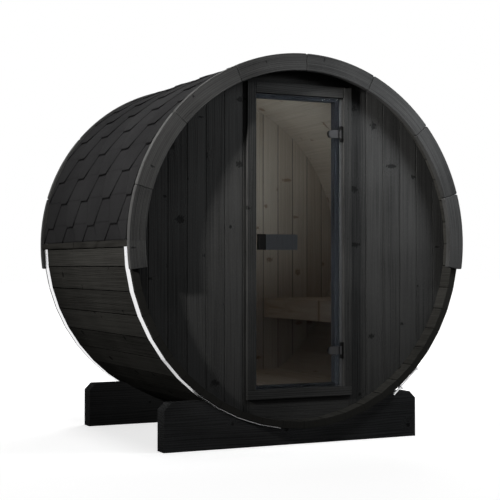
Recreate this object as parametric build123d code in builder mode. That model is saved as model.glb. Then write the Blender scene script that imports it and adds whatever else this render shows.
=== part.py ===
from build123d import *
import math
import os

# Barrel sauna. X runs to the right as seen from the door, Y runs back from the door,
# Z is up from the ground. Lengths are millimetres, angles are degrees.

# Barrel of flat staves
barrel_radius = 1000.0
stave_count = 48
stave_thickness = 38.0
stave_bevel = 3.0
stave_length = 1492.0
staves_per_group = 4
ground_gap = 96.0

# Cradles
cradle_length = 1544.0
cradle_height = 256.0
cradle_thickness = 93.0
cradle_chamfer = 40.0
cradle_edge_break = 3.0
cradle_setback = 98.0

# Curved fascia boards on both ends of the staves
fascia_overhang = 12.0
fascia_width = 92.0
fascia_thickness = 32.0
fascia_board_angle = 24.6
fascia_boards_per_side = 4
fascia_joint_gap = 1.5
fascia_outer_ease = 9.0
fascia_inner_ease = 6.0
fascia_edge_break = 2.5

# Steel bands
band_width = 56.0
band_thickness = 1.5
band_setback = 20.0
fit_clearance = 0.3
lug_angles = (-43.6, -51.6)
lug_height = 42.0
lug_width = 34.0
lug_thickness = 5.0
bolt_rise = 31.0
bolt_radius = 5.0
bolt_tail = 62.0
nut_radius = 9.5
nut_height = 8.0

# Shingled roof over the upper half
batten_height = 34.0
batten_rise = 5.0
batten_thickness = 13.0
shingle_end_gap = 28.0
shingle_butt = 8.5
shingle_tuck = 4.5
first_course_angle = 5.3
course_angle = 8.2
ridge_cap_angle = 6.5
ridge_cap_thickness = 4.0

# End walls
wall_recess = 87.0
wall_thickness = 42.0

# Glass door leaf and its frame
leaf_width = 514.0
leaf_thickness = 8.0
leaf_offset = 7.0
leaf_top_drop = 206.0
leaf_bottom_rise = 214.0
leaf_gap = 6.0
hinge_margin = 15.0
jamb_thickness = 25.0
jamb_depth = 64.0
stop_width = 20.0
stop_gap = 12.0
casing_width = 50.0
casing_head = 60.0
casing_thickness = 20.0
casing_edge_break = 2.0

# Hinges
hinge_height = 44.0
hinge_clamp_length = 74.0
hinge_clamp_plate = 6.0
hinge_leaf_height = 88.0
hinge_leaf_plate = 6.0
hinge_leaf_depth = 17.0
knuckle_radius = 6.5
knuckle_gap = 0.5
pin_radius = 3.0
pin_clearance = 0.05
hinge_axis_inset = 14.0
hinge_axis_forward = 9.0
hinge_end_distance = 193.0

# Door handles
handle_height = 84.0
handle_drop = 41.0
grip_width = 40.0
grip_depth = 30.0
grip_inset = 9.0
inner_handle_width = 190.0
inner_handle_depth = 10.0
inner_handle_inset = 68.0
handle_edge_break = 2.0

# Floor and bench
floor_rise = 204.0
floor_thickness = 28.0
seat_height = 462.0
bench_depth = 562.0
bench_board = 28.0
bench_apron = 125.0

# Places that follow from the sizes above
stave_angle = 360 / stave_count
half_stave = math.radians(stave_angle / 2)
inner_radius = barrel_radius - stave_thickness / math.cos(half_stave)
axis_height = ground_gap + barrel_radius
stave_end = stave_length / 2
wall_face = stave_end - wall_recess
room_end = wall_face - wall_thickness
fascia_outer = barrel_radius + fascia_overhang
fascia_inner = fascia_outer - fascia_width
band_outer = barrel_radius + band_thickness / math.cos(half_stave)
band_middle = stave_end - band_setback - band_width / 2
batten_top = axis_height + batten_rise
shingle_end = stave_end - shingle_end_gap

leaf_left = leaf_offset - leaf_width / 2
leaf_right = leaf_offset + leaf_width / 2
leaf_bottom = ground_gap + leaf_bottom_rise
leaf_top = axis_height + barrel_radius - leaf_top_drop
leaf_front = -wall_face
leaf_back = leaf_front + leaf_thickness
pocket_left = leaf_left - leaf_gap
pocket_right = leaf_right + leaf_gap
pocket_bottom = leaf_bottom - leaf_gap
pocket_top = leaf_top + leaf_gap
casing_right = pocket_right + hinge_margin
frame_left = pocket_left - jamb_thickness
frame_right = casing_right + jamb_thickness
frame_bottom = pocket_bottom - jamb_thickness
frame_top = pocket_top + jamb_thickness
frame_front = -wall_face
frame_back = frame_front + jamb_depth
stop_front = leaf_back + stop_gap
handle_bottom = axis_height - handle_drop

floor_top = ground_gap + floor_rise
bench_top = floor_top + seat_height
bench_front = inner_radius + stave_thickness - bench_depth

hinge_x = casing_right - hinge_axis_inset
hinge_y = leaf_front - hinge_axis_forward
hinge_heights = {
    "lower": leaf_bottom + hinge_end_distance,
    "upper": leaf_top - hinge_end_distance,
}

barrel_plane = Plane(origin=(0, 0, axis_height), x_dir=(1, 0, 0), z_dir=(0, -1, 0))


def front_facing(depth):
    """The upright plane across the barrel at a depth, with its normal towards the door."""
    return Plane.XZ.offset(-depth)


def save(piece, name):
    piece.part.label = name
    export_step(piece.part, f"parts/{name}.step")


def polar(radius, angle):
    """A point of the barrel's section, seen from the axis."""
    return (radius * math.cos(math.radians(angle)), radius * math.sin(math.radians(angle)))


def bolt_plane(depth):
    """The plane across the tension bolt where it enters the first lug."""
    first, last = (polar(barrel_radius + bolt_rise, angle) for angle in lug_angles)
    direction = (last[0] - first[0], 0, last[1] - first[1])
    return Plane(origin=(first[0], depth, axis_height + first[1]), z_dir=direction)


def span(low_x, high_x, low_z, high_z, mode=Mode.ADD):
    """A rectangle of the front view, given by its edges."""
    with Locations(((low_x + high_x) / 2, (low_z + high_z) / 2)):
        Rectangle(high_x - low_x, high_z - low_z, mode=mode)


def block(low, high, mode=Mode.ADD):
    """A box, given by its lowest and highest corners."""
    size = [b - a for a, b in zip(low, high)]
    with Locations(tuple((a + b) / 2 for a, b in zip(low, high))):
        Box(*size, mode=mode)


os.makedirs("parts", exist_ok=True)

# One stave's section: flat outside and inside, with both outer edges bevelled
with BuildSketch() as stave_section:
    flat = barrel_radius * math.cos(half_stave)
    half_width = barrel_radius * math.sin(half_stave)
    shoulder = polar(barrel_radius - stave_bevel, stave_angle / 2)
    toe = polar(inner_radius, stave_angle / 2)
    with BuildLine():
        Polyline(
            (toe[0], -toe[1]),
            (shoulder[0], -shoulder[1]),
            (flat, -half_width + stave_bevel),
            (flat, half_width - stave_bevel),
            shoulder,
            toe,
            close=True,
        )
    make_face()

# The barrel, in groups of staves that meet on radial planes, clockwise from the top
group_angle = staves_per_group * stave_angle
for number in range(stave_count // staves_per_group):
    first_angle = 90 - (number + 1) * group_angle + stave_angle / 2
    with BuildPart() as staves:
        with BuildSketch(barrel_plane):
            with PolarLocations(0, staves_per_group, first_angle, group_angle):
                add(stave_section.sketch)
        extrude(amount=stave_length / 2, both=True)
    save(staves, f"barrel_staves_{number + 1:02d}")

# Cradles, sawn to the flats of the staves that they carry
cradle_middle = stave_end - cradle_setback - cradle_thickness / 2
for name, side in (("front", -1), ("rear", 1)):
    with BuildPart() as cradle:
        with BuildSketch(front_facing(side * cradle_middle)) as cradle_outline:
            Rectangle(cradle_length, cradle_height, align=(Align.CENTER, Align.MIN))
            chamfer(cradle_outline.vertices().group_by(Axis.Y)[-1], cradle_chamfer)
            with Locations((0, axis_height)):
                RegularPolygon(barrel_radius, stave_count, mode=Mode.SUBTRACT)
        extrude(amount=cradle_thickness / 2, both=True)
        ends = cradle.edges().filter_by(Axis.Z)
        chamfer(ends, cradle_edge_break)
    save(cradle, f"cradle_{name}")

# Steel bands drawn round the flats of the staves, each tightened by a bolt through two lugs
lug_half_angle = math.radians(lug_angles[0] - lug_angles[1]) / 2
lug_spacing = 2 * (barrel_radius + bolt_rise) * math.sin(lug_half_angle)
nut_gap = lug_thickness / 2 + nut_radius * math.tan(lug_half_angle) + fit_clearance
for name, side in (("front", -1), ("rear", 1)):
    depth = side * band_middle
    with BuildPart() as band:
        with BuildSketch(barrel_plane.offset(-depth)):
            RegularPolygon(band_outer, stave_count)
            RegularPolygon(barrel_radius, stave_count, mode=Mode.SUBTRACT)
        extrude(amount=band_width / 2, both=True)
        with BuildSketch(barrel_plane.offset(-depth)):
            for angle in lug_angles:
                with Locations(Location((*polar(barrel_radius, angle), 0), (0, 0, angle))):
                    Rectangle(lug_height, lug_thickness, align=(Align.MIN, Align.CENTER))
            RegularPolygon(barrel_radius, stave_count, mode=Mode.SUBTRACT)
        extrude(amount=lug_width / 2, both=True)
        with BuildSketch(bolt_plane(depth).offset(-lug_height)):
            Circle(bolt_radius + fit_clearance)
        extrude(amount=lug_spacing + 2 * lug_height, mode=Mode.SUBTRACT)
    save(band, f"band_{name}")

    with BuildPart() as bolt:
        with BuildSketch(bolt_plane(depth).offset(-nut_gap - nut_height)):
            Circle(bolt_radius)
        extrude(amount=nut_gap + nut_height + lug_spacing + bolt_tail)
        for start in (-nut_gap - nut_height, lug_spacing + nut_gap):
            with BuildSketch(bolt_plane(depth).offset(start)):
                RegularPolygon(nut_radius, 6)
            extrude(amount=nut_height)
    save(bolt, f"tension_bolt_{name}")

# Curved fascia boards, butted end to end with eased corners, four on each side of the top
joint_half_gap = math.degrees(fascia_joint_gap / 2 / fascia_outer)
for end, side in (("front", -1), ("rear", 1)):
    for hand, turn in (("right", -1), ("left", 1)):
        with BuildPart() as fascia:
            with BuildSketch(barrel_plane.offset(-side * stave_end)) as boards:
                for number in range(fascia_boards_per_side):
                    near = 90 + turn * (number * fascia_board_angle + joint_half_gap)
                    sweep = turn * (fascia_board_angle - 2 * joint_half_gap)
                    with BuildLine():
                        outer = CenterArc((0, 0), fascia_outer, near, sweep)
                        inner = CenterArc((0, 0), fascia_inner, near, sweep)
                        Line(outer @ 0, inner @ 0)
                        Line(outer @ 1, inner @ 1)
                    make_face()
                middle_radius = (fascia_outer + fascia_inner) / 2
                outer_corners = boards.vertices().filter_by(lambda v: v.center().length > middle_radius)
                fillet(outer_corners, fascia_outer_ease)
                inner_corners = boards.vertices().filter_by(lambda v: v.center().length < fascia_inner + 1)
                fillet(inner_corners, fascia_inner_ease)
            extrude(amount=-side * fascia_thickness)
            outside = fascia.faces().group_by(Axis.Y)[0 if side < 0 else -1]
            chamfer(outside.edges(), fascia_edge_break)
        save(fascia, f"fascia_{end}_{hand}")

# Eave battens along the widest line, notched over the bands, with the shingles above them
for hand, side in (("right", 1), ("left", -1)):
    low_x, high_x = sorted((side * (barrel_radius - batten_thickness), side * fascia_outer))
    with BuildPart() as batten:
        with BuildSketch(Plane.XZ):
            span(low_x, high_x, batten_top - batten_height, batten_top)
            with Locations((0, axis_height)):
                RegularPolygon(barrel_radius, stave_count, mode=Mode.SUBTRACT)
        extrude(amount=stave_end, both=True)
        for end in (-1, 1):
            with BuildSketch(barrel_plane.offset(-end * band_middle)):
                RegularPolygon(band_outer + fit_clearance, stave_count)
            extrude(amount=band_width / 2 + fit_clearance, both=True, mode=Mode.SUBTRACT)
    save(batten, f"eave_batten_{hand}")

# Shingled roof sides: each course stands proud at its butt and tucks under the next
ridge_angle = 90.0
course_starts = [first_course_angle]
while course_starts[-1] + course_angle < ridge_angle:
    course_starts.append(course_starts[-1] + course_angle)
for hand, side in (("right", 1), ("left", -1)):
    outline = [
        (barrel_radius - batten_thickness, batten_rise),
        (barrel_radius + shingle_butt, batten_rise),
    ]
    for start in course_starts:
        outline.append(polar(barrel_radius + shingle_tuck, start))
        outline.append(polar(barrel_radius + shingle_butt, start))
    outline.append((0, barrel_radius + shingle_tuck))
    outline.append((0, barrel_radius - batten_thickness))
    with BuildPart() as roof:
        with BuildSketch(barrel_plane):
            with BuildLine():
                Polyline([(side * x, z) for x, z in outline], close=True)
            make_face()
            RegularPolygon(barrel_radius, stave_count, mode=Mode.SUBTRACT)
        extrude(amount=shingle_end, both=True)
        for end in (-1, 1):
            with BuildSketch(barrel_plane.offset(-end * band_middle)):
                RegularPolygon(band_outer + fit_clearance, stave_count)
            extrude(amount=band_width / 2 + fit_clearance, both=True, mode=Mode.SUBTRACT)
    save(roof, f"roof_shingles_{hand}")

# Cap shingles over the ridge, bent across the top courses
with BuildPart() as ridge_cap:
    with BuildSketch(barrel_plane):
        cap_inner = (barrel_radius + shingle_butt) / math.cos(math.radians(ridge_cap_angle / 2))
        cap_points = [polar(cap_inner, 90 + turn * ridge_cap_angle) for turn in (1, 0, -1)]
        cap_points += [
            polar(cap_inner + ridge_cap_thickness, 90 + turn * ridge_cap_angle)
            for turn in (-1, 0, 1)
        ]
        with BuildLine():
            Polyline(cap_points, close=True)
        make_face()
    extrude(amount=shingle_end, both=True)
save(ridge_cap, "roof_ridge_cap")

# Front wall of upright boards, split beside, over and under the door frame
wall_pieces = {
    "left": (-barrel_radius, frame_left, 0, 2 * axis_height),
    "right": (frame_right, barrel_radius, 0, 2 * axis_height),
    "over_door": (frame_left, frame_right, frame_top, 2 * axis_height),
    "under_door": (frame_left, frame_right, 0, frame_bottom),
}
for name, edges in wall_pieces.items():
    with BuildPart() as front_wall:
        with BuildSketch(front_facing(-room_end)):
            with Locations((0, axis_height)):
                RegularPolygon(inner_radius, stave_count)
            span(*edges, mode=Mode.INTERSECT)
        extrude(amount=wall_thickness)
    save(front_wall, f"front_wall_{name}")

with BuildPart() as back_wall:
    with BuildSketch(front_facing(wall_face)):
        with Locations((0, axis_height)):
            RegularPolygon(inner_radius, stave_count)
    extrude(amount=wall_thickness)
save(back_wall, "back_wall")

# Door frame: rebated jambs, head and sill, so that the leaf closes inside a stop
with BuildPart() as jamb_left:
    block((frame_left, frame_front, pocket_bottom), (pocket_left, frame_back, pocket_top))
    block((pocket_left, stop_front, pocket_bottom), (pocket_left + stop_width, frame_back, pocket_top))
save(jamb_left, "door_jamb_left")

with BuildPart() as jamb_right:
    block((pocket_right, frame_front, pocket_bottom), (frame_right, frame_back, pocket_top))
    block((pocket_right - stop_width, stop_front, pocket_bottom), (pocket_right, frame_back, pocket_top))
save(jamb_right, "door_jamb_right")

stop_left = pocket_left + stop_width
stop_right = pocket_right - stop_width
with BuildPart() as head:
    block((frame_left, frame_front, pocket_top), (frame_right, frame_back, frame_top))
    block((stop_left, stop_front, pocket_top - stop_width), (stop_right, frame_back, pocket_top))
save(head, "door_head")

with BuildPart() as sill:
    block((frame_left, frame_front, frame_bottom), (frame_right, frame_back, pocket_bottom))
    block((stop_left, stop_front, pocket_bottom), (stop_right, frame_back, pocket_bottom + stop_width))
save(sill, "door_sill")

# Casing boards planted on the wall face over the joint between wall and frame
casing_front = frame_front - casing_thickness
casing_boards = {
    "left": (pocket_left - casing_width, pocket_left, pocket_bottom, pocket_top + casing_head),
    "right": (casing_right, casing_right + casing_width, pocket_bottom, pocket_top + casing_head),
    "head": (pocket_left, casing_right, pocket_top, pocket_top + casing_head),
    "sill": (
        pocket_left - casing_width,
        casing_right + casing_width,
        pocket_bottom - casing_width,
        pocket_bottom,
    ),
}
for name, (low_x, high_x, low_z, high_z) in casing_boards.items():
    with BuildPart() as casing:
        block((low_x, casing_front, low_z), (high_x, frame_front, high_z))
        chamfer(casing.faces().sort_by(Axis.Y)[0].edges(), casing_edge_break)
    save(casing, f"door_casing_{name}")

# Floor boards as one slab, and a bench along the right side, both let into the curve
with BuildPart() as floor:
    with BuildSketch(Plane.XZ):
        with Locations((0, axis_height)):
            RegularPolygon(inner_radius, stave_count)
        span(-barrel_radius, barrel_radius, floor_top - floor_thickness, floor_top, Mode.INTERSECT)
    extrude(amount=room_end, both=True)
    block((frame_left, frame_front, frame_bottom), (frame_right, frame_back, pocket_bottom), Mode.SUBTRACT)
save(floor, "floor")

with BuildPart() as bench_seat:
    with BuildSketch(Plane.XZ):
        with Locations((0, axis_height)):
            RegularPolygon(inner_radius, stave_count)
        seat_front = bench_front + bench_board
        span(seat_front, barrel_radius, bench_top - bench_board, bench_top, Mode.INTERSECT)
    extrude(amount=room_end, both=True)
save(bench_seat, "bench_seat")

with BuildPart() as bench_apron_board:
    block(
        (bench_front, -room_end, bench_top - bench_apron),
        (bench_front + bench_board, room_end, bench_top),
    )
save(bench_apron_board, "bench_apron")

# Door leaf: one sheet of glass held by two clamps
with BuildPart() as glass:
    block((leaf_left, leaf_front, leaf_bottom), (leaf_right, leaf_back, leaf_top))
save(glass, "door_glass")

clamp_front = leaf_front - hinge_clamp_plate
clamp_back = leaf_back + hinge_clamp_plate
clamp_tip = leaf_right - hinge_clamp_length + hinge_clamp_plate
for name, middle in hinge_heights.items():
    # Clamp with a rounded tongue on both faces of the glass and a knuckle on the pin
    with BuildPart() as clamp:
        with BuildSketch(front_facing(clamp_back)):
            tongue_radius = hinge_height / 2
            with Locations((clamp_tip + tongue_radius, middle)):
                Circle(tongue_radius)
            span(clamp_tip + tongue_radius, leaf_right + 3, middle - tongue_radius, middle + tongue_radius)
        extrude(amount=clamp_back - clamp_front)
        block(
            (clamp_tip, leaf_front, middle - hinge_height),
            (leaf_right, leaf_back, middle + hinge_height),
            Mode.SUBTRACT,
        )
        block(
            (leaf_right - 2, hinge_y - 4, middle - tongue_radius),
            (hinge_x, clamp_front + 1, middle + tongue_radius),
        )
        with Locations((hinge_x, hinge_y, middle)):
            Cylinder(knuckle_radius, hinge_height)
            Cylinder(pin_radius + pin_clearance, hinge_height, mode=Mode.SUBTRACT)
    save(clamp, f"hinge_clamp_{name}")

    # Fixed leaf on the reveal of the casing, with a knuckle above and below the clamp's
    with BuildPart() as fixed_leaf:
        leaf_plate_x = casing_right - hinge_leaf_plate
        low_z = middle - hinge_leaf_height / 2
        high_z = middle + hinge_leaf_height / 2
        block(
            (leaf_plate_x, frame_front - hinge_leaf_depth, low_z),
            (casing_right, frame_front, high_z),
        )
        outer_knuckle = (hinge_leaf_height - hinge_height) / 2 - knuckle_gap
        for knuckle_low in (low_z, high_z - outer_knuckle):
            with Locations((hinge_x, hinge_y, knuckle_low + outer_knuckle / 2)):
                Cylinder(knuckle_radius, outer_knuckle)
            block(
                (hinge_x, hinge_y - 4, knuckle_low),
                (leaf_plate_x, hinge_y + 4, knuckle_low + outer_knuckle),
            )
        with Locations((hinge_x, hinge_y, middle)):
            Cylinder(pin_radius, hinge_leaf_height)
    save(fixed_leaf, f"hinge_leaf_{name}")

# Handles: a grip block outside and a broad board inside
with BuildPart() as outer_handle:
    grip_left = leaf_left + grip_inset
    block(
        (grip_left, leaf_front - grip_depth, handle_bottom),
        (grip_left + grip_width, leaf_front, handle_bottom + handle_height),
    )
    chamfer(outer_handle.faces().sort_by(Axis.Y)[0].edges(), handle_edge_break)
save(outer_handle, "door_handle_outer")

with BuildPart() as inner_handle:
    inner_left = leaf_left + inner_handle_inset
    block(
        (inner_left, leaf_back, handle_bottom),
        (inner_left + inner_handle_width, leaf_back + inner_handle_depth, handle_bottom + handle_height),
    )
    chamfer(inner_handle.faces().sort_by(Axis.Y)[-1].edges(), handle_edge_break)
save(inner_handle, "door_handle_inner")
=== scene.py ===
# %% [markdown]
# # A barrel sauna in black stained spruce
# The sauna is a barrel of flat staves on two cradles, with a shingled upper half, a curved
# fascia round each end and a smoked glass door. The CAD model gives every carrying part its
# place and size. This lesson dresses that model: boards, shingles and screws come from
# Geometry Nodes, and every finish is a shader made of nodes.

# %% Load the frame
import bpy
import math
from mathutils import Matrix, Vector


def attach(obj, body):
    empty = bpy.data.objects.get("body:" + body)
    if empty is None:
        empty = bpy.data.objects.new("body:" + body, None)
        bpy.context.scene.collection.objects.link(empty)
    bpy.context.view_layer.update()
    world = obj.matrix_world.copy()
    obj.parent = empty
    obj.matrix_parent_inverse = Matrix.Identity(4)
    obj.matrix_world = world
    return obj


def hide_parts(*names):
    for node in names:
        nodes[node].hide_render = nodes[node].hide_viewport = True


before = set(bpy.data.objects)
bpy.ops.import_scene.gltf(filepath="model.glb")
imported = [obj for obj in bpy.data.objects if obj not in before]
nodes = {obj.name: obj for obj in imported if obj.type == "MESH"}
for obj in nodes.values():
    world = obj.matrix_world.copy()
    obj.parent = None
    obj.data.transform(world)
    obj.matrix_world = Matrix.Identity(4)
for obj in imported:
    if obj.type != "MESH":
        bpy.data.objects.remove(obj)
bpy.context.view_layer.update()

# %% [markdown]
# ## Sizes that several pieces share
# All lengths are metres. The barrel's axis lies 1.096 m above the ground, and a stave takes
# 7.5 degrees of the turn. The looks use the same few sizes as the CAD model, so they are
# written down once, here. The two margins catch the faces that lie right on a limit.

# %% Shared sizes
axis_height = 1.096
barrel_radius = 1.0
inner_radius = 0.961
mid_stave_radius = 0.975
stave_turn = math.radians(7.5)
fascia_board_turn = math.radians(24.6)
floor_board_width = 0.092
stave_end = 0.746
wall_face = 0.659
wall_thickness = 0.042
room_end = 0.617
frame_left, frame_right = -0.281, 0.310
room_margin, end_margin = 0.0015, 0.001
weld_distance = 0.00002
print("barrel", barrel_radius, "m round an axis at", axis_height, "m")

# %% [markdown]
# ## Small helpers for node trees
# A node tree is a list of nodes and the links between them. Written by hand that takes many
# lines, so `put` makes a node, sets its properties and fills its sockets, from a value or
# from another node's output. `maths` is one Math node, and `plus`, `minus`, `times` and
# `over` are the kinds that come up most. `new_tree` opens a tree with named inputs and
# outputs, which then show up in Blender's own interface.

# %% Node helpers
def socket_of(sockets, key):
    """A socket by its number or by its name, leaving out the ones that are switched off."""
    if isinstance(key, int):
        return sockets[key]
    return next(s for s in sockets if s.name == key and s.enabled)


def put(tree, kind, inputs=None, **settings):
    made = tree.nodes.new(kind)
    for name, value in settings.items():
        setattr(made, name, value)
    for key, value in (inputs or {}).items():
        target = socket_of(made.inputs, key)
        if isinstance(value, bpy.types.NodeSocket):
            tree.links.new(value, target)
        else:
            target.default_value = value
    return made


def maths(tree, operation, *terms, clamp=False):
    made = put(tree, "ShaderNodeMath", dict(enumerate(terms)), operation=operation)
    made.use_clamp = clamp
    return made.outputs[0]


def plus(tree, first, second):
    return maths(tree, "ADD", first, second)


def minus(tree, first, second, clamp=False):
    return maths(tree, "SUBTRACT", first, second, clamp=clamp)


def times(tree, first, second):
    return maths(tree, "MULTIPLY", first, second)


def over(tree, first, second, clamp=False):
    return maths(tree, "DIVIDE", first, second, clamp=clamp)


def squared(tree, value):
    return maths(tree, "POWER", value, 2.0)


def vector_of(tree, x, y, z):
    return put(tree, "ShaderNodeCombineXYZ", {0: x, 1: y, 2: z}).outputs[0]


def parts_of(tree, vector):
    return put(tree, "ShaderNodeSeparateXYZ", {0: vector}).outputs


def stretched(tree, terms, scales):
    """A vector with each of its three terms scaled by itself."""
    return vector_of(tree, *(times(tree, term, scale) for term, scale in zip(terms, scales)))


def vector_maths(tree, operation, *terms):
    made = put(tree, "ShaderNodeVectorMath", dict(enumerate(terms)), operation=operation)
    return made.outputs["Value" if operation in ("DOT_PRODUCT", "LENGTH") else "Vector"]


def noise_of(tree, place, detail, scale=1.0):
    settings = {"Vector": place, "Scale": scale, "Detail": detail}
    return put(tree, "ShaderNodeTexNoise", settings).outputs[0]


def random_of(tree, number):
    """White noise of one number: a random value and a random colour."""
    return put(tree, "ShaderNodeTexWhiteNoise", {"W": number}, noise_dimensions="1D").outputs


def ramp(tree, value, low, high, to_low=0.0, to_high=1.0):
    """A smooth step from one value to another."""
    ends = {"From Min": low, "From Max": high, "To Min": to_low, "To Max": to_high}
    made = put(
        tree, "ShaderNodeMapRange", {"Value": value, **ends}, interpolation_type="SMOOTHSTEP")
    return made.outputs[0]


def new_tree(name, kind, inputs, outputs):
    tree = bpy.data.node_groups.new(name, kind)
    for label, socket_type, default in inputs:
        made = tree.interface.new_socket(label, in_out="INPUT", socket_type=socket_type)
        if default is not None:
            made.default_value = default
    for label, socket_type in outputs:
        tree.interface.new_socket(label, in_out="OUTPUT", socket_type=socket_type)
    return tree, tree.nodes.new("NodeGroupInput"), tree.nodes.new("NodeGroupOutput")


def new_material(name):
    """A material, its node tree and its Principled shader."""
    material = bpy.data.materials.new(name)
    material.use_nodes = True
    return material, material.node_tree, material.node_tree.nodes["Principled BSDF"]


def add_object(name, data):
    made = bpy.data.objects.new(name, data)
    bpy.context.scene.collection.objects.link(made)
    return made


print("node helpers ready")

# %% [markdown]
# ## The figure of sawn softwood
# A sawn spruce board shows growth rings as long stripes, fine fibres between them, and round
# knots that the rings bend about. A picture could be wrapped on, but it would repeat and
# would need to fit each board. A node group works from a place in the board instead: X along
# the grain, Y across the face and Z into it. Voronoi cells set out the knots, one noise
# bends the rings, and two more, much stretched along the grain, make the fibres and streaks.

# %% Wood figure group
FLOAT, VECTOR = "NodeSocketFloat", "NodeSocketVector"
wood_figure, wood_in, wood_out = new_tree(
    "wood_figure", "ShaderNodeTree",
    [("Grain Place", VECTOR, None), ("Ring Spacing", FLOAT, 0.009),
     ("Knot Size", FLOAT, 0.009), ("Knot Share", FLOAT, 0.35)],
    [("Rings", FLOAT), ("Fibre", FLOAT), ("Streak", FLOAT), ("Knot", FLOAT), ("Height", FLOAT)],
)
t = wood_figure
grain = parts_of(t, wood_in.outputs["Grain Place"])
along, across = grain[0], grain[1]

# Knots: one cell may hold one, and a ragged edge keeps it from being an oval
knot_cells_along, knot_cells_across = 2.6, 10.0
knot_cells = put(t, "ShaderNodeTexVoronoi", {
    "Vector": stretched(t, grain, (knot_cells_along, knot_cells_across, 0.0)),
    "Scale": 1.0, "Randomness": 0.85}, voronoi_dimensions="2D")
cell_along, cell_across = parts_of(t, knot_cells.outputs["Position"])[:2]
has_knot, size_luck, shape_luck = parts_of(t, knot_cells.outputs["Color"])
off_along = minus(t, along, over(t, cell_along, knot_cells_along))
off_across = minus(t, across, over(t, cell_across, knot_cells_across))
off_along = times(t, off_along, maths(t, "MULTIPLY_ADD", shape_luck, 1.1, 0.6))
off_across = times(t, off_across, maths(t, "MULTIPLY_ADD", shape_luck, -0.45, 1.0))
knot_gap = maths(t, "SQRT", plus(t, squared(t, off_along), squared(t, off_across)))
lucky = maths(t, "LESS_THAN", has_knot, wood_in.outputs["Knot Share"])
knot_radius = times(t, wood_in.outputs["Knot Size"], plus(t, size_luck, 0.45))
knot_radius = plus(t, times(t, knot_radius, lucky), 0.0001)
ragged = noise_of(t, stretched(t, grain, (70.0, 110.0, 0.0)), 3.0)
nearness = plus(t, over(t, knot_gap, knot_radius), maths(t, "MULTIPLY_ADD", ragged, 2.4, -1.2))
knot = times(t, ramp(t, nearness, 1.15, 0.75), lucky)

# Rings: a wave across the board, bent slowly by noise and sharply by the knots
pull = times(t, ramp(t, nearness, 4.5, 0.0), lucky)
bend = noise_of(t, stretched(t, grain, (0.8, 6.0, 6.0)), 2.0)
ring_phase = over(t, across, wood_in.outputs["Ring Spacing"])
ring_phase = plus(t, ring_phase, times(t, bend, 7.0))
ring_phase = plus(t, ring_phase, times(t, pull, 2.4))
ring_wave = maths(t, "SINE", times(t, ring_phase, 2 * math.pi))
rings = maths(t, "POWER", maths(t, "MULTIPLY_ADD", ring_wave, 0.5, 0.5), 2.5)

# Fibres and streaks: noise drawn out along the grain
fibre = noise_of(t, stretched(t, grain, (16.0, 700.0, 700.0)), 3.0)
streak = noise_of(t, stretched(t, grain, (1.8, 110.0, 60.0)), 3.0)
wood_height = maths(t, "MULTIPLY_ADD", rings, 0.3, times(t, fibre, 0.7))
wood_height = minus(t, wood_height, times(t, ramp(t, nearness, 1.3, 1.0), 0.35))
figure_values = {
    "Rings": rings, "Fibre": fibre, "Streak": streak, "Knot": knot, "Height": wood_height}
for label, value in figure_values.items():
    t.links.new(value, wood_out.inputs[label])
print("wood_figure has", len(t.nodes), "nodes")

# %% [markdown]
# ## Edges that have been handled, and weather
# Sawn and planed edges are never knife sharp: they catch a thin line of light, and stain
# rubs off there first. The Bevel node looks round each point for a nearby edge and gives a
# rounded normal. Where that differs from the true normal there is an edge. The same mask
# finds inner corners too: on the felt it paints shade into the crease under each butt. A
# second group gives slow patches, as from rain and sun, and fine dust specks.

# %% Edge and weather groups
rubbed_edges, edge_in, edge_out = new_tree(
    "rubbed_edges", "ShaderNodeTree", [("Width", FLOAT, 0.002)],
    [("Edge", FLOAT), ("Rounded Normal", VECTOR)],
)
t = rubbed_edges
rounded = put(t, "ShaderNodeBevel", {"Radius": edge_in.outputs["Width"]}, samples=4)
true_normal = put(t, "ShaderNodeNewGeometry").outputs["True Normal"]
agreement = vector_maths(t, "DOT_PRODUCT", rounded.outputs[0], true_normal)
t.links.new(ramp(t, agreement, 0.985, 0.80), edge_out.inputs["Edge"])
t.links.new(rounded.outputs[0], edge_out.inputs["Rounded Normal"])

weathering, weather_in, weather_out = new_tree(
    "weathering", "ShaderNodeTree", [("Place", VECTOR, None), ("Patch Size", FLOAT, 0.35)],
    [("Patch", FLOAT), ("Dust", FLOAT)],
)
t = weathering
weather_place = weather_in.outputs["Place"]
patch = noise_of(t, weather_place, 4.0, over(t, 1.0, weather_in.outputs["Patch Size"]))
specks = noise_of(t, weather_place, 2.0, 160.0)
t.links.new(ramp(t, patch, 0.3, 0.7), weather_out.inputs["Patch"])
t.links.new(times(t, ramp(t, specks, 0.55, 0.75), patch), weather_out.inputs["Dust"])


def add_relief(tree, shader, edges, height, strength, distance):
    """Fine relief from a height, on top of the rounded edges."""
    relief = put(tree, "ShaderNodeBump", {
        "Strength": strength, "Distance": distance, "Height": height,
        "Normal": edges.outputs["Rounded Normal"]})
    tree.links.new(relief.outputs[0], shader.inputs["Normal"])


print("rubbed_edges and weathering ready")

# %% [markdown]
# ## Where a point lies in its board
# The figure group wants metres along, across and into a board, and each board its own piece
# of wood. Flat boards only need their axes swapped. Round the barrel the board's number is
# the angle divided by one stave's turn, and on the curved fascia the grain follows the turn.
# White noise of the board's number slides the figure, so that no two boards match.

# %% Board layouts
even_share = 0.75  # how far the figure and the joints fade on the staves' sawn ends


def object_place(tree):
    return put(tree, "ShaderNodeTexCoord").outputs["Object"]


def turn_angle(tree, x, z):
    return maths(tree, "ARCTAN2", minus(tree, z, axis_height), x)


def axis_distance(tree, x, z):
    up = minus(tree, z, axis_height)
    return maths(tree, "SQRT", plus(tree, squared(tree, x), squared(tree, up)))


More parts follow.
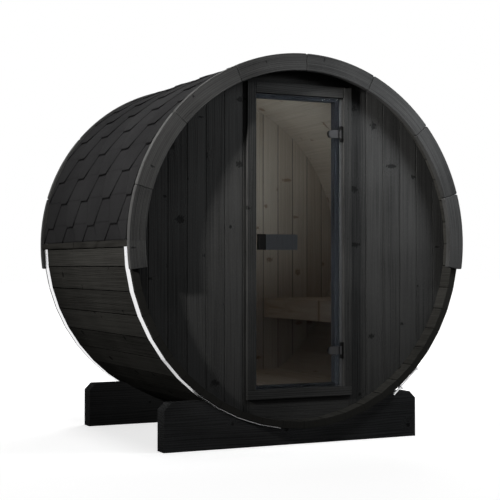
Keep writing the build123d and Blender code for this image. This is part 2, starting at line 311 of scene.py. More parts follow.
def board_place(tree, layout, seed):
    """The place in the board, and the board's own random number, for one layout."""
    x, y, z = parts_of(tree, object_place(tree))
    number = 0.0
    if layout == "round":
        turns = over(tree, turn_angle(tree, x, z), stave_turn)
        number = maths(tree, "FLOOR", turns)
        terms = (y, times(tree, minus(tree, turns, number), stave_turn), 0.0)
    elif layout == "upright":
        terms = (z, x, y)
    elif layout == "wall":
        number = put(tree, "ShaderNodeAttribute", attribute_name="board").outputs["Fac"]
        terms = (z, x, y)
    elif layout == "level":
        terms = (x, z, y)
    elif layout == "lengthwise":
        number = maths(tree, "FLOOR", over(tree, x, floor_board_width))
        terms = (y, x, z)
    else:
        turns = minus(tree, turn_angle(tree, x, z), math.pi / 2)
        number = maths(tree, "FLOOR", over(tree, turns, fascia_board_turn))
        terms = (turns, axis_distance(tree, x, z), y)
    luck = random_of(tree, plus(tree, number, seed))
    farthest_slide = (9.0, 3.0, 5.0)
    slide = vector_maths(tree, "MULTIPLY", luck["Color"], farthest_slide)
    return vector_maths(tree, "ADD", vector_of(tree, *terms), slide), luck["Value"]


def board_joint(tree):
    """How deep a point lies in the bevels between two staves, and 1 on the staves' sawn ends."""
    x, y, z = parts_of(tree, object_place(tree))
    turns = over(tree, turn_angle(tree, x, z), stave_turn)
    off = maths(tree, "ABSOLUTE", minus(tree, turns, maths(tree, "ROUND", turns)))
    on_end = maths(tree, "GREATER_THAN", maths(tree, "ABSOLUTE", y), stave_end - end_margin)
    side_share = maths(tree, "MULTIPLY_ADD", on_end, -even_share, 1.0)
    return times(tree, ramp(tree, off, 0.030, 0.008), side_share), on_end


def mixed(tree, factor, first, second):
    made = put(tree, "ShaderNodeMix", {0: factor}, data_type="RGBA")
    for slot, value in ((6, first), (7, second)):
        if isinstance(value, bpy.types.NodeSocket):
            tree.links.new(value, made.inputs[slot])
        else:
            made.inputs[slot].default_value = (*value, 1.0)
    return made.outputs[2]


def scaled(colour, factor):
    return [channel * factor for channel in colour]


print("layouts: round, wall, upright, level, lengthwise, curved")

# %% [markdown]
# ## Black stained wood, natural inside
# The outside is spruce with a thin black stain. The stain is matt, the late wood of the
# rings shows darker through it, the knots stay darkest and the edges are rubbed. The inside
# of the room is bare spruce. Staves and wall boards show both sides, so one material holds
# both finishes and changes over by the place: bare wood where the point faces the room. The
# sawn ends of the staves drink the stain evenly, so there the figure fades to one dark grey.

# %% Wood material
bare_dark, bare_light = (0.30, 0.235, 0.175), (0.50, 0.42, 0.335)
bare_knot = (0.16, 0.085, 0.045)


def stained_finish(t, layout, tone, figure, edges, weather, dark, light):
    """Stain over the tone of the wood, darker in knots and joints, paler on edges and in dust."""
    stained = mixed(t, tone, dark, light)
    stained = mixed(t, times(t, figure.outputs["Knot"], 0.7), stained, scaled(dark, 0.35))
    stained = mixed(t, times(t, edges.outputs["Edge"], 0.4), stained, scaled(light, 1.6))
    stained = mixed(t, times(t, weather.outputs["Dust"], 0.4), stained, scaled(light, 1.8))
    if layout == "round":
        joint, on_end = board_joint(t)
        even_grey = [0.45 * (a + b) for a, b in zip(dark, light)]
        stained = mixed(t, times(t, on_end, even_share), stained, even_grey)
        stained = mixed(t, joint, stained, scaled(dark, 0.3))
    return stained


def faces_room(t, bare):
    """1 where a stave or a wall board shows its side in the room."""
    x, y, z = parts_of(t, object_place(t))
    inside = maths(t, "LESS_THAN", maths(t, "ABSOLUTE", y), room_end + room_margin)
    if bare == "inside barrel":
        within_staves = maths(t, "LESS_THAN", axis_distance(t, x, z), mid_stave_radius)
        inside = times(t, inside, within_staves)
    return inside


def wood_material(name, layout, seed, dark, light, bare="never", ring=0.009, knots=0.5,
                  knot_size=0.015, sheen=0.0):
    material, t, shader = new_material(name)
    place, luck = board_place(t, layout, seed)
    figure = put(t, "ShaderNodeGroup", node_tree=wood_figure)
    t.links.new(place, figure.inputs["Grain Place"])
    for label, value in (("Ring Spacing", ring), ("Knot Size", knot_size), ("Knot Share", knots)):
        figure.inputs[label].default_value = value
    edges = put(t, "ShaderNodeGroup", node_tree=rubbed_edges)
    weather = put(t, "ShaderNodeGroup", node_tree=weathering)
    t.links.new(object_place(t), weather.inputs["Place"])

    # Tone: 0 is the darkest wood and 1 the palest
    tone = maths(t, "MULTIPLY_ADD", figure.outputs["Streak"], 1.1, -0.22)
    tone = maths(t, "MULTIPLY_ADD", figure.outputs["Rings"], -0.35, tone)
    tone = maths(t, "MULTIPLY_ADD", figure.outputs["Fibre"], 0.35, tone)
    tone = maths(t, "MULTIPLY_ADD", luck, 0.42, tone)
    tone = maths(t, "MULTIPLY_ADD", weather.outputs["Patch"], 0.22, tone, clamp=True)
    stained = stained_finish(t, layout, tone, figure, edges, weather, dark, light)
    natural = mixed(t, tone, bare_dark, bare_light)
    natural = mixed(t, times(t, figure.outputs["Knot"], 0.6), natural, bare_knot)
    if bare == "never":
        colour = stained
    elif bare == "always":
        colour = natural
    else:
        colour = mixed(t, faces_room(t, bare), stained, natural)
    t.links.new(colour, shader.inputs["Base Color"])
    rough = maths(t, "MULTIPLY_ADD", figure.outputs["Fibre"], 0.22, 0.51)
    rough = maths(t, "MULTIPLY_ADD", figure.outputs["Knot"], -0.18, rough)
    rough = maths(t, "MULTIPLY_ADD", weather.outputs["Dust"], 0.2, rough, clamp=True)
    t.links.new(rough, shader.inputs["Roughness"])
    shader.inputs["Specular IOR Level"].default_value = sheen
    add_relief(t, shader, edges, figure.outputs["Height"], 0.45, 0.0012)
    return material


stain_dark, stain_light = (0.0095, 0.0097, 0.0100), (0.052, 0.052, 0.0515)
stave_wood = wood_material(
    "stained_staves", "round", 3.0, (0.0094, 0.0092, 0.0086), (0.0425, 0.0417, 0.0388),
    bare="inside barrel")
wall_wood = wood_material(
    "stained_wall_boards", "wall", 11.0, stain_dark, stain_light, bare="inside walls", sheen=0.02)
upright_wood = wood_material(
    "stained_upright_trim", "upright", 23.0, stain_dark, stain_light, knots=0.18)
level_wood = wood_material(
    "stained_level_trim", "level", 31.0, stain_dark, stain_light, knots=0.18)
# The jambs and head behind the glass get a paler copy of the stain: painted light, so the frame
# reads bright through the smoked glass.
jamb_wood_painted_light = wood_material(
    "stained_jambs", "upright", 29.0, (0.06, 0.062, 0.065), (0.13, 0.134, 0.140), knots=0.1)
batten_wood = wood_material(
    "stained_battens", "lengthwise", 37.0, (0.0074, 0.0072, 0.0067), (0.0295, 0.0288, 0.0268),
    knots=0.1)
fascia_wood = wood_material(
    "stained_fascia", "curved", 41.0, stain_dark, (0.062, 0.062, 0.062),
    knot_size=0.007, sheen=0.03)
cradle_wood = wood_material(
    "stained_cradles", "level", 47.0, (0.0150, 0.0154, 0.0160), (0.0540, 0.0552, 0.0570),
    ring=0.013, knots=0.25, knot_size=0.010)
room_wood = wood_material(
    "bare_room_wood", "lengthwise", 53.0, stain_dark, stain_light, bare="always")
print("wood finishes made")

# %% [markdown]
# ## Bitumen shingle felt
# Shingles are felt soaked in bitumen and strewn with slate granules. Each granule is a
# fleck about 2 mm wide with its own grey, so a fine Voronoi texture gives colour and relief.
# Every tab comes from a different place of the roll, which the attribute `tab` tells the
# shader, and the weather group adds slow patches. Along a cut edge the felt is bare bitumen,
# so there the edge group turns it black. The same mask, made wide, also darkens the crease
# under each butt on the course below: that part is painted shade.

# %% Granules and felt
felt_granules, felt_in, felt_out = new_tree(
    "felt_granules", "ShaderNodeTree", [("Place", VECTOR, None), ("Granule Size", FLOAT, 0.0022)],
    [("Fleck", FLOAT), ("Height", FLOAT)],
)
t = felt_granules
granules = put(t, "ShaderNodeTexVoronoi", {
    "Vector": felt_in.outputs["Place"], "Scale": over(t, 1.0, felt_in.outputs["Granule Size"])})
t.links.new(parts_of(t, granules.outputs["Color"])[0], felt_out.inputs["Fleck"])
t.links.new(minus(t, 1.0, granules.outputs["Distance"]), felt_out.inputs["Height"])

roof_felt, t, shader = new_material("shingle_felt")
granule = put(t, "ShaderNodeGroup", {"Place": object_place(t)}, node_tree=felt_granules)
weather = put(t, "ShaderNodeGroup", {"Place": object_place(t)}, node_tree=weathering)
edges = put(t, "ShaderNodeGroup", node_tree=rubbed_edges)
# A wide edge mask: bare bitumen on the cut edges, and painted shade in the crease under each butt.
edges.inputs["Width"].default_value = 0.012
tab = put(t, "ShaderNodeAttribute", attribute_name="tab").outputs["Fac"]
tone = times(t, granule.outputs["Fleck"], 0.6)
tone = maths(t, "MULTIPLY_ADD", random_of(t, tab)["Value"], 0.14, tone)
tone = maths(t, "MULTIPLY_ADD", weather.outputs["Patch"], 0.2, tone, clamp=True)
felt_colour = mixed(t, tone, (0.0056, 0.0056, 0.0059), (0.0228, 0.0228, 0.0238))
# Black for the bitumen of cut edges, and painted shade in the creases under the butts.
felt_colour = mixed(t, edges.outputs["Edge"], felt_colour, (0.001, 0.001, 0.001))
t.links.new(felt_colour, shader.inputs["Base Color"])
felt_rough = maths(t, "MULTIPLY_ADD", granule.outputs["Fleck"], 0.2, 0.7)
t.links.new(felt_rough, shader.inputs["Roughness"])
shader.inputs["Specular IOR Level"].default_value = 0.01
add_relief(t, shader, edges, granule.outputs["Height"], 0.4, 0.0008)
print("felt made")

# %% [markdown]
# ## Metal and glass
# The bands are strips of bright stainless steel, drawn through a mill, so fine lines run
# round the barrel. The hinges have black painted leaves and dark steel clamps. The door is
# one sheet of smoked safety glass, where most light passes and little is mirrored: plain
# transmission, with only faint smears in the roughness. The handle's inner plate is grey. It
# has a very faint glow, painted light that stands in for the daylight which the lamps' light
# does not bring through the glass to it.

# %% Metal and glass materials
def metal_material(name, dark, light, roughness, metallic, lines, line_axis, sheen=0.5):
    material, t, shader = new_material(name)
    x, y, z = parts_of(t, object_place(t))
    if line_axis == "round":
        place = stretched(t, (turn_angle(t, x, z), y, 0.0), (4.0, 900.0, 0.0))
    else:
        place = stretched(t, (x, y, z), (90.0, 90.0, 900.0))
    drawn = noise_of(t, place, 3.0)
    edges = put(t, "ShaderNodeGroup", node_tree=rubbed_edges)
    edges.inputs["Width"].default_value = 0.0008
    weather = put(t, "ShaderNodeGroup", {"Place": object_place(t)}, node_tree=weathering)
    colour = mixed(t, drawn, dark, light)
    worn = [min(1.0, channel) for channel in scaled(light, 1.5)]
    colour = mixed(t, times(t, edges.outputs["Edge"], 0.5), colour, worn)
    t.links.new(colour, shader.inputs["Base Color"])
    rough = maths(t, "MULTIPLY_ADD", drawn, lines, roughness)
    rough = maths(t, "MULTIPLY_ADD", weather.outputs["Dust"], 0.25, rough, clamp=True)
    t.links.new(rough, shader.inputs["Roughness"])
    shader.inputs["Metallic"].default_value = metallic
    shader.inputs["Specular IOR Level"].default_value = sheen
    add_relief(t, shader, edges, drawn, 0.08, 0.0003)
    return material


band_steel = metal_material(
    "stainless_band", (0.62, 0.62, 0.63), (0.86, 0.86, 0.87), 0.14, 1.0, 0.22, "round")
hinge_steel = metal_material(
    "dark_steel", (0.014, 0.014, 0.0145), (0.036, 0.036, 0.037), 0.26, 1.0, 0.15, "level")
handle_plate = metal_material(
    "pale_plate", (0.15, 0.153, 0.156), (0.19, 0.194, 0.198), 0.45, 0.0, 0.15, "level", sheen=0.2)
shader = handle_plate.node_tree.nodes["Principled BSDF"]
shader.inputs["Emission Color"].default_value = (0.95, 0.97, 1.0, 1.0)
# A faint glow on the plate: painted light for the daylight that would reach it through the glass.
painted_daylight_glow = 0.033
shader.inputs["Emission Strength"].default_value = painted_daylight_glow
screw_paint = metal_material(
    "stained_screws", (0.010, 0.010, 0.010), (0.020, 0.020, 0.020), 0.6, 0.0, 0.1, "level",
    sheen=0.03)
hinge_black = metal_material(
    "black_paint", (0.003, 0.003, 0.003), (0.006, 0.006, 0.006), 0.5, 0.0, 0.15, "level",
    sheen=0.03)

door_glass, t, shader = new_material("smoked_glass")
smears = put(t, "ShaderNodeGroup", {"Place": object_place(t)}, node_tree=weathering)
smoke = mixed(t, smears.outputs["Patch"], (0.455, 0.487, 0.53), (0.48, 0.512, 0.555))
t.links.new(smoke, shader.inputs["Base Color"])
t.links.new(times(t, smears.outputs["Patch"], 0.004), shader.inputs["Roughness"])
shader.inputs["IOR"].default_value = 1.08
shader.inputs["Transmission Weight"].default_value = 1.0
print("metal and glass made")

# %% [markdown]
# ## Finishes on the CAD nodes
# Most CAD nodes keep their shape and only get a finish.

# %% Dress the CAD nodes
def dress(names, material):
    for name in names:
        node = nodes[name]
        node.data.materials.clear()
        node.data.materials.append(material)


dress([f"barrel_staves_{n:02d}" for n in range(1, 13)], stave_wood)
for end in ("front", "rear"):
    dress([f"fascia_{end}_left", f"fascia_{end}_right"], fascia_wood)
    dress([f"cradle_{end}"], cradle_wood)
    dress([f"band_{end}", f"tension_bolt_{end}"], band_steel)
dress(["eave_batten_left", "eave_batten_right"], batten_wood)
dress(["door_casing_left", "door_casing_right"], upright_wood)
dress(["door_jamb_left", "door_jamb_right", "door_head"], jamb_wood_painted_light)
dress(["door_casing_head", "door_casing_sill", "door_sill"], level_wood)
dress(["floor", "bench_seat", "bench_apron"], room_wood)
dress(["door_handle_inner"], handle_plate)
dress(["hinge_leaf_lower", "hinge_leaf_upper"], hinge_black)
dress(["hinge_clamp_lower", "hinge_clamp_upper"], hinge_steel)
dress(["door_handle_outer"], hinge_black)
dress(["door_glass"], door_glass)
print("dressed CAD nodes")

# %% [markdown]
# ## Turning a node tree into a plain mesh
# A Geometry Nodes modifier is live: it is worked out again at each change. For the finished
# part its result is copied out of the evaluated object as a plain mesh, and the modifier
# goes. The inputs are set by each socket's identifier, because two may share a name.

# %% Bake helper
def grown(holder, tree, **values):
    """The plain mesh that a tree makes on an object, with named inputs."""
    modifier = holder.modifiers.new("nodes", "NODES")
    modifier.node_group = tree
    for item in tree.interface.items_tree:
        if item.item_type == "SOCKET" and item.in_out == "INPUT":
            key = item.name.lower().replace(" ", "_")
            if key in values:
                modifier[item.identifier] = values[key]
    bpy.context.view_layer.update()
    evaluated = holder.evaluated_get(bpy.context.evaluated_depsgraph_get())
    mesh = bpy.data.meshes.new_from_object(evaluated)
    holder.modifiers.remove(modifier)
    return mesh


def made_by(tree, name, material, body, slot_name, **values):
    """A finished piece from a tree and its named inputs."""
    holder = add_object(name + "_holder", bpy.data.meshes.new(name + "_holder"))
    mesh = grown(holder, tree, material=material, **values)
    bpy.data.objects.remove(holder)
    mesh.name = name
    piece = add_object(name, mesh)
    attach(piece, body)
    print(name, "faces", len(mesh.polygons))
    return piece


GEOMETRY, INTEGER, MATERIAL = "NodeSocketGeometry", "NodeSocketInt", "NodeSocketMaterial"


def attribute_of(tree, label):
    made = put(tree, "GeometryNodeInputNamedAttribute", {"Name": label}, data_type="FLOAT")
    return made.outputs[0]


def position_parts(tree):
    return parts_of(tree, put(tree, "GeometryNodeInputPosition").outputs[0])


def counted_blocks(tree, count, columns, rows, label):
    """A row of unit blocks at one place, each carrying its number as an attribute."""
    line = put(tree, "GeometryNodeMeshLine", {"Count": count, "Offset": (0.0, 0.0, 0.0)})
    numbered = put(tree, "GeometryNodeStoreNamedAttribute", {
        "Geometry": line.outputs[0], "Name": label,
        "Value": put(tree, "GeometryNodeInputIndex").outputs[0]}, data_type="FLOAT", domain="POINT")
    unit = put(tree, "GeometryNodeMeshCube", {
        "Size": (1.0, 1.0, 1.0), "Vertices X": columns, "Vertices Y": rows, "Vertices Z": 2})
    copies = put(tree, "GeometryNodeInstanceOnPoints", {
        "Points": numbered.outputs[0], "Instance": unit.outputs["Mesh"]})
    return put(tree, "GeometryNodeRealizeInstances", {0: copies.outputs[0]}).outputs[0]


def laid_at(tree, geometry, x, y, z):
    return put(tree, "GeometryNodeSetPosition", {
        "Geometry": geometry, "Position": vector_of(tree, x, y, z)}).outputs[0]


def closed_tree(tree, geometry, material, group_out):
    """Ends a tree: corners that met are welded, and the finish is set."""
    welded = put(tree, "GeometryNodeMergeByDistance", {
        "Geometry": geometry, "Distance": weld_distance})
    final = put(tree, "GeometryNodeSetMaterial", {
        "Geometry": welded.outputs[0], "Material": material})
    tree.links.new(final.outputs[0], group_out.inputs[0])


print("bake helper ready")

# %% [markdown]
# ## Hexagonal shingles
# Shingles come as strips with tabs cut along the lower edge. Each course covers the upper
# half of the course below and sits half a tab to one side, so the open tabs look like
# hexagons. In the tree a course is one block whose columns fall on the corners of the tabs.
# Set Position lays the block on the barrel: columns run along the ridge, rows up the curve
# and the two layers are the felt's under and upper side. The upper side drops by one
# thickness for each course that it passes under.

# %% Shingle tree
shingle_tree, group_in, group_out = new_tree(
    "shingle_courses", "GeometryNodeTree",
    [("Side", FLOAT, 1.0), ("Courses", INTEGER, 13), ("First Angle", FLOAT, -11.1),
     ("Course Angle", FLOAT, 8.2), ("Radius", FLOAT, barrel_radius),
     ("Axis Height", FLOAT, axis_height), ("Butt Height", FLOAT, 0.0085),
     ("Felt", FLOAT, 0.0042), ("Pitch", FLOAT, 0.3705),
     ("Tab Width", FLOAT, 0.110), ("Slant", FLOAT, 0.0745), ("Start", FLOAT, 0.041),
     ("Half Length", FLOAT, 0.718), ("Eave Angle", FLOAT, 0.35), ("Top Angle", FLOAT, 89.8),
     ("Material", MATERIAL, None)],
    [("Geometry", GEOMETRY)],
)
t, g = shingle_tree, group_in.outputs
column_count, row_count, columns_per_tab = 25, 8, 4.0
covered_courses = 2.1
thinnest = 0.0024
courses = counted_blocks(t, g["Courses"], column_count, row_count, "course")
course = attribute_of(t, "course")
px, py, pz = position_parts(t)
row_share, layer_share = plus(t, py, 0.5), plus(t, pz, 0.5)

# Along the ridge: each tab has four columns, on the ends of its low edge and of its slants
column = times(t, maths(t, "MULTIPLY_ADD", px, g["Side"], 0.5), column_count - 1.0)
column = maths(t, "ROUND", column)
strip = maths(t, "FLOOR", over(t, column, columns_per_tab))
corner = minus(t, column, times(t, strip, columns_per_tab))
tab_width, slant = g["Tab Width"], g["Slant"]
valley = minus(t, minus(t, g["Pitch"], tab_width), times(t, slant, 2.0))
even = minus(t, 1.0, maths(t, "MODULO", course, 2.0))
shift = minus(t, g["Start"], times(t, even, times(t, g["Pitch"], 0.5)))
along = maths(t, "MULTIPLY_ADD", minus(t, strip, 3.0), g["Pitch"], shift)
along = maths(t, "MULTIPLY_ADD", tab_width, -0.5, along)
for step, width in enumerate((tab_width, slant, valley)):
    passed = minus(t, corner, float(step), clamp=True)
    along = maths(t, "MULTIPLY_ADD", passed, width, along)
along = maths(t, "MAXIMUM", along, times(t, g["Half Length"], -1.0))
along = maths(t, "MINIMUM", along, g["Half Length"])

# Up the curve: the low edge is 0 under a tab and 1 in a valley, and never below the eave
low_angle = maths(t, "MULTIPLY_ADD", course, g["Course Angle"], g["First Angle"])
eave_share = over(t, minus(t, g["Eave Angle"], low_angle), g["Course Angle"])
tab_number = maths(t, "ROUND", over(t, minus(t, along, shift), g["Pitch"]))
from_middle = minus(t, minus(t, along, shift), times(t, tab_number, g["Pitch"]))
from_middle = maths(t, "ABSOLUTE", from_middle)
low_edge = over(t, maths(t, "MULTIPLY_ADD", tab_width, -0.5, from_middle), slant, clamp=True)
low_edge = maths(t, "MAXIMUM", low_edge, eave_share)
rise = plus(t, low_edge, times(t, row_share, minus(t, covered_courses, low_edge)))
angle = maths(t, "MULTIPLY_ADD", rise, g["Course Angle"], low_angle)
angle = maths(t, "RADIANS", maths(t, "MINIMUM", angle, g["Top Angle"]))

# Out from the barrel: highest at the butt, and one felt lower for each course above it
top = maths(t, "MAXIMUM", minus(t, g["Butt Height"], times(t, rise, g["Felt"])), thinnest)
under = maths(t, "MAXIMUM", minus(t, top, times(t, g["Felt"], 0.95)), 0.0001)
height = plus(t, under, times(t, layer_share, minus(t, top, under)))
radius = plus(t, g["Radius"], height)
x = times(t, times(t, radius, maths(t, "COSINE", angle)), g["Side"])
z = maths(t, "MULTIPLY_ADD", radius, maths(t, "SINE", angle), g["Axis Height"])
laid = laid_at(t, courses, x, along, z)
face_tab = maths(t, "ROUND", over(t, minus(t, position_parts(t)[1], shift), g["Pitch"]))
tagged = put(t, "GeometryNodeStoreNamedAttribute", {
    "Geometry": laid, "Name": "tab",
    "Value": maths(t, "MULTIPLY_ADD", course, 17.0, face_tab)}, data_type="FLOAT", domain="FACE")
closed_tree(t, tagged.outputs[0], g["Material"], group_out)

for hand, side in (("right", 1.0), ("left", -1.0)):
    courses_piece = made_by(
        shingle_tree, f"shingle_courses_{hand}", roof_felt, "sauna", "roof_felt", side=side)
    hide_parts(f"roof_shingles_{hand}")

# %% [markdown]
# ## Ridge caps
# Along the ridge, short caps of the same felt are bent over the two top courses, each one
# lapping the next. One block per cap is bent round the axis in the same way, and it tilts
# by one thickness along its length.

# %% Ridge cap tree
cap_tree, group_in, group_out = new_tree(
    "ridge_caps", "GeometryNodeTree",
    [("Caps", INTEGER, 10), ("Half Turn", FLOAT, 6.5), ("Exposure", FLOAT, 0.1436),
     ("Lap", FLOAT, 0.05), ("Half Length", FLOAT, 0.718), ("Radius", FLOAT, 1.0088),
     ("Axis Height", FLOAT, axis_height), ("Felt", FLOAT, 0.0024), ("Material", MATERIAL, None)],
    [("Geometry", GEOMETRY)],
)
t, g = cap_tree, group_in.outputs
caps = counted_blocks(t, g["Caps"], 9, 2, "tab")
px, py, pz = position_parts(t)
share, layer_share = plus(t, py, 0.5), plus(t, pz, 0.5)
along = times(t, share, plus(t, g["Exposure"], g["Lap"]))
along = plus(t, times(t, attribute_of(t, "tab"), g["Exposure"]), along)
along = maths(t, "MINIMUM", minus(t, along, g["Half Length"]), g["Half Length"])
angle = minus(t, 90.0, times(t, px, times(t, g["Half Turn"], 2.0)))
angle = maths(t, "RADIANS", angle)
tilt = times(t, minus(t, 1.0, share), g["Felt"])
radius = plus(t, plus(t, g["Radius"], tilt), times(t, layer_share, g["Felt"]))
x = times(t, radius, maths(t, "COSINE", angle))
z = maths(t, "MULTIPLY_ADD", radius, maths(t, "SINE", angle), g["Axis Height"])
closed_tree(t, laid_at(t, caps, x, along, z), g["Material"], group_out)
ridge_caps = made_by(cap_tree, "ridge_cap_shingles", roof_felt, "sauna", "roof_felt")
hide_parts("roof_ridge_cap")

# %% [markdown]
# ## Upright wall boards
# The end walls are tongued boards about 108 mm wide. On the face each joint shows as a
# small V. A block per board has a narrow column at each edge, which Set Position pushes
# back by the depth of the V, and its ends follow the circle of the staves. Boards that run
# into the door frame stop at its edge.

# %% Wall board tree
board_tree, group_in, group_out = new_tree(
    "wall_boards", "GeometryNodeTree",
    [("Facing", FLOAT, 1.0), ("Boards", INTEGER, 6), ("First Joint", FLOAT, -0.972),
     ("Board Width", FLOAT, 0.108), ("Left Limit", FLOAT, -0.96), ("Right Limit", FLOAT, 0.96),
     ("Low Limit", FLOAT, 0.0), ("High Limit", FLOAT, 3.0), ("Radius", FLOAT, inner_radius),
     ("Axis Height", FLOAT, axis_height), ("Face", FLOAT, wall_face),
     ("Thickness", FLOAT, wall_thickness), ("Groove", FLOAT, 0.0032), ("Material", MATERIAL, None)],
    [("Geometry", GEOMETRY)],
)
t, g = board_tree, group_in.outputs
last_column = 11.0
boards = counted_blocks(t, g["Boards"], int(last_column) + 1, 2, "board")
board = attribute_of(t, "board")
px, py, pz = position_parts(t)
depth_share, height_share = plus(t, py, 0.5), plus(t, pz, 0.5)

# Across: a narrow column for the V at each edge, and the rest shared out between them
column = times(t, plus(t, px, 0.5), last_column)
to_far_edge = minus(t, column, last_column - 1.0)
edge_steps = plus(t, maths(t, "MINIMUM", column, 1.0), maths(t, "MAXIMUM", to_far_edge, 0.0))
middle_share = over(t, minus(t, column, 1.0), last_column - 2.0, clamp=True)
middle_width = minus(t, g["Board Width"], times(t, g["Groove"], 2.0))
across = maths(t, "MULTIPLY_ADD", edge_steps, g["Groove"], times(t, middle_share, middle_width))
x = plus(t, plus(t, g["First Joint"], across), times(t, board, g["Board Width"]))
x = maths(t, "MAXIMUM", maths(t, "MINIMUM", x, g["Right Limit"]), g["Left Limit"])

# Up: the ends follow the round of the staves
half_chord = maths(t, "MAXIMUM", minus(t, squared(t, g["Radius"]), squared(t, x)), 0.0)
half_chord = maths(t, "SQRT", half_chord)
low_z = maths(t, "MAXIMUM", minus(t, g["Axis Height"], half_chord), g["Low Limit"])
high_z = maths(t, "MINIMUM", plus(t, g["Axis Height"], half_chord), g["High Limit"])
z = plus(t, low_z, times(t, height_share, minus(t, high_z, low_z)))

# Through: both faces step in by the depth of the V at the edges
inward = maths(t, "MINIMUM", column, minus(t, last_column, column))
inward = minus(t, 1.0, maths(t, "MINIMUM", inward, 1.0))
front = minus(t, times(t, inward, g["Groove"]), g["Face"])
back = minus(t, minus(t, g["Thickness"], g["Face"]), times(t, inward, g["Groove"]))
y = plus(t, front, times(t, depth_share, minus(t, back, front)))
laid = laid_at(t, boards, times(t, x, g["Facing"]), times(t, y, g["Facing"]), z)
closed_tree(t, laid, g["Material"], group_out)

wall_left = made_by(board_tree, "wall_boards_left", wall_wood, "sauna", "front_wood", boards=8,
                    first_joint=-1.080, board_width=0.108, right_limit=frame_left)
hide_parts("front_wall_left")
wall_right = made_by(board_tree, "wall_boards_right", wall_wood, "sauna", "front_wood", boards=7,
                     first_joint=0.2163, board_width=0.1112, left_limit=frame_right)
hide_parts("front_wall_right")
wall_rear = made_by(board_tree, "wall_boards_rear", wall_wood, "sauna", "stave_wood", boards=18,
                    first_joint=-0.972, board_width=0.108, facing=-1.0)
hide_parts("back_wall")
dress(["front_wall_over_door", "front_wall_under_door"], level_wood)

# %% [markdown]
# ## Screws
# Countersunk screws hold the casing, five in each upright. A screw head is a small disc with
# a recess for the driver. One head is instanced on a list of points, and each is turned by a
# random angle with a fixed seed, as no fitter lines them up.

# %% Screw tree
screw_tree, group_in, group_out = new_tree(
    "screw_heads", "GeometryNodeTree",
    [("Geometry", GEOMETRY, None), ("Head Radius", FLOAT, 0.0042), ("Head Height", FLOAT, 0.0012),
     ("Seed", INTEGER, 7), ("Material", MATERIAL, None)],
    [("Geometry", GEOMETRY)],
)
t, g = screw_tree, group_in.outputs
disc = put(t, "GeometryNodeMeshCylinder", {
    "Vertices": 12, "Radius": g["Head Radius"], "Depth": g["Head Height"]})
recess = put(t, "GeometryNodeExtrudeMesh", {
    "Mesh": disc.outputs["Mesh"], "Selection": disc.outputs["Top"],
    "Offset Scale": 0.0}, mode="FACES")
narrow = put(t, "GeometryNodeScaleElements", {
    "Geometry": recess.outputs["Mesh"], "Selection": recess.outputs["Top"],
    "Scale": 0.48}, domain="FACE")
sunk = put(t, "GeometryNodeExtrudeMesh", {
    "Mesh": narrow.outputs[0], "Selection": recess.outputs["Top"],
    "Offset Scale": times(t, g["Head Height"], -0.8)}, mode="FACES")
twist = put(t, "FunctionNodeRandomValue", {
    "Min": 0.0, "Max": 6.28, "Seed": g["Seed"]}, data_type="FLOAT")
twist_turn = vector_of(t, 0.0, 0.0, socket_of(twist.outputs, "Value"))
turn = vector_of(t, times(t, attribute_of(t, "facing"), math.pi / 2), 0.0, 0.0)
heads = put(t, "GeometryNodeInstanceOnPoints", {
    "Points": g["Geometry"], "Instance": sunk.outputs["Mesh"], "Rotation": turn})
twisted = put(t, "GeometryNodeRotateInstances", {
    "Instances": heads.outputs[0], "Rotation": twist_turn})
realized = put(t, "GeometryNodeRealizeInstances", {0: twisted.outputs[0]})
final = put(t, "GeometryNodeSetMaterial", {
    "Geometry": realized.outputs[0], "Material": g["Material"]})
t.links.new(final.outputs[0], group_out.inputs[0])
print("screw tree ready")

# %% [markdown]
# ## Where the screws sit
# The list of points is a plain mesh without faces, and its attribute `facing` says which
# way a head looks: 1 is to the front. The heads stand 0.7 mm proud of the wood.

# %% Screw points
def screws(name, places, body, material, head_radius):
    mesh = bpy.data.meshes.new(name)
    mesh.from_pydata([place[:3] for place in places], [], [])
    facing_values = mesh.attributes.new("facing", "FLOAT", "POINT")
    facing_values.data.foreach_set("value", [place[3] for place in places])
    piece = add_object(name, mesh)
    piece.data = grown(piece, screw_tree, head_radius=head_radius, material=material)
    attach(piece, body)
    print(name, "screws", len(places), "faces", len(piece.data.polygons))


screw_y, to_front = -0.6791, 1.0  # the middle of a head, at the face of the casing
screw_heights = (0.40, 0.76, 1.12, 1.48, 1.84)
casing_places = [
    (x, screw_y, z, to_front) for x in (frame_left, frame_right) for z in screw_heights]
screws("casing_screws", casing_places, "sauna", screw_paint, 0.0035)

# %% [markdown]
# ## Floor and backdrop
# The part stands on a plain pale floor under a white surround. The camera sees both near
# white, while the floor still takes the part's shadow. In mirrors and through glass the
# surround stays white too.

# %% Floor and world
def seen_directly(tree):
    """1 for what the camera sees, also mirrored or through glass, and 0 for light on the part."""
    path = put(tree, "ShaderNodeLightPath").outputs
    mirrored = maths(tree, "MAXIMUM", path["Is Camera Ray"], path["Is Glossy Ray"])
    return maths(tree, "MAXIMUM", mirrored, path["Is Transmission Ray"])


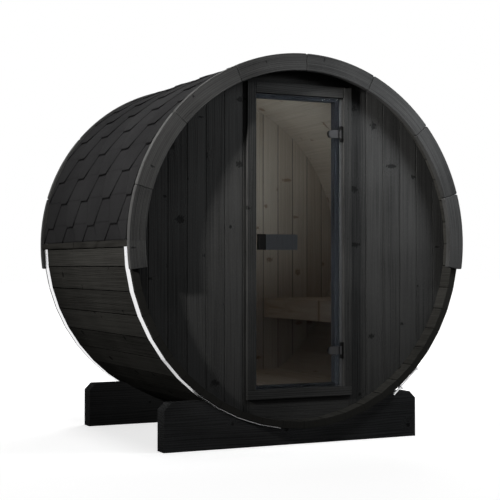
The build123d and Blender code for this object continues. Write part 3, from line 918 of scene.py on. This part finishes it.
half_floor = 60.0
floor_mesh = bpy.data.meshes.new("studio_floor")
corner_sides = ((-1, -1), (1, -1), (1, 1), (-1, 1))
floor_corners = [(x * half_floor, y * half_floor, 0.0) for x, y in corner_sides]
floor_mesh.from_pydata(floor_corners, [], [(0, 1, 2, 3)])
studio_floor = add_object("studio_floor", floor_mesh)
floor_paint, t, paint = new_material("pale_floor")
paint.inputs["Base Color"].default_value = (0.10, 0.10, 0.10, 1.0)
paint.inputs["Roughness"].default_value = 0.9
paint.inputs["Specular IOR Level"].default_value = 0.0
seen = put(t, "ShaderNodeBsdfDiffuse", {"Color": (0.85, 0.85, 0.85, 1.0)})
away = vector_maths(t, "LENGTH", put(t, "ShaderNodeNewGeometry").outputs["Position"])
glow = put(t, "ShaderNodeEmission", {
    "Color": (1.0, 1.0, 1.0, 1.0), "Strength": ramp(t, away, 1.5, 8.0, 0.70, 1.0)})
bright = put(t, "ShaderNodeAddShader", {0: seen.outputs[0], 1: glow.outputs[0]})
choice = put(t, "ShaderNodeMixShader", {
    0: seen_directly(t), 1: paint.outputs[0], 2: bright.outputs[0]})
t.links.new(choice.outputs[0], t.nodes["Material Output"].inputs["Surface"])
floor_mesh.materials.append(floor_paint)

world = bpy.data.worlds.new("white_surround")
bpy.context.scene.world = world
world.use_nodes = True
t = world.node_tree
surround = t.nodes["Background"]
lighting_level = 0.18
surround.inputs["Color"].default_value = (1.0, 1.0, 1.0, 1.0)
surround_level = maths(t, "MULTIPLY_ADD", seen_directly(t), 1.0 - lighting_level, lighting_level)
t.links.new(surround_level, surround.inputs["Strength"])
print("floor and surround made")

# %% [markdown]
# ## Lamps
# The picture shows a low light from the left, which throws the fascia's curved shadow on
# the front wall, and a wide soft light from above on the right. A third lamp stands over the
# roof, a fourth lights the far side for views from behind, and a small one glows in the room.
# Each lamp is a square area light. Its level is about the brightness of a white card that
# faces it, which makes lamps at different distances easy to compare. A spread below 180
# degrees gathers the light round the aim and lets it fade away from there, so the level of
# such a lamp is set lower. Here that keeps the low parts of the barrel dark, as in the picture.

# %% Lamps
def lamp(name, aim, direction, distance, size, level, colour=(1.0, 1.0, 1.0), spread=180.0):
    """An area light that shines along a direction at a point, with its level on a white card."""
    light = bpy.data.lights.new(name, "AREA")
    light.shape = "SQUARE"
    light.size = size
    light.spread = math.radians(spread)
    light.energy = level * math.pi ** 2 * distance ** 2
    light.color = colour
    made = add_object(name, light)
    way = Vector(direction).normalized()
    made.location = Vector(aim) - way * distance
    made.rotation_euler = way.to_track_quat("-Z", "Y").to_euler()
    return made


lamp("low_left", (-0.5, -0.4, 2.0), (0.927, 0.330, -0.179), distance=6.94, size=0.35, level=0.0695,
     colour=(1.0, 0.985, 0.95), spread=32.5)
lamp("soft_right", (0.75, -0.70, 1.90), (-0.442, 0.786, -0.432), distance=1.6, size=1.0, level=0.47,
     colour=(0.95, 0.98, 1.0), spread=80.0)
lamp("soft_top", (-0.4, 0.0, 2.0), (0.30, 0.12, -0.95), distance=4.0, size=1.5, level=0.40)
lamp("rear_fill", (0.3, 0.4, 1.1), (-0.62, -0.72, -0.30), distance=5.0, size=3.0, level=0.55)
room_lamp = lamp("room_glow", (-0.1, 0.6, 1.95), (-0.1, 0.70, 0.70), distance=0.9, size=0.4,
                 level=0.57, colour=(0.88, 0.97, 1.0))
for sight in ("visible_camera", "visible_glossy", "visible_transmission"):
    setattr(room_lamp, sight, False)

# %% [markdown]
# ## Camera
# The camera stands low and to the left of the door, a little under a metre from the ground,
# and looks very slightly up, through a long lens.

# %% Camera
camera_data = bpy.data.cameras.new("camera")
camera_data.sensor_width = 36.0
camera_data.lens = 89.706
camera = add_object("camera", camera_data)
turn_left, look_up = math.radians(25.875), math.radians(0.7197)
forward = Vector((math.sin(turn_left) * math.cos(look_up),
                  math.cos(turn_left) * math.cos(look_up), math.sin(look_up)))
camera.location = (-3.186, -6.6447, 0.970)
camera.rotation_euler = forward.to_track_quat("-Z", "Y").to_euler()
bpy.context.scene.camera = camera
bpy.context.scene.view_settings.view_transform = "Standard"
print("camera at", tuple(round(c, 3) for c in camera.location))
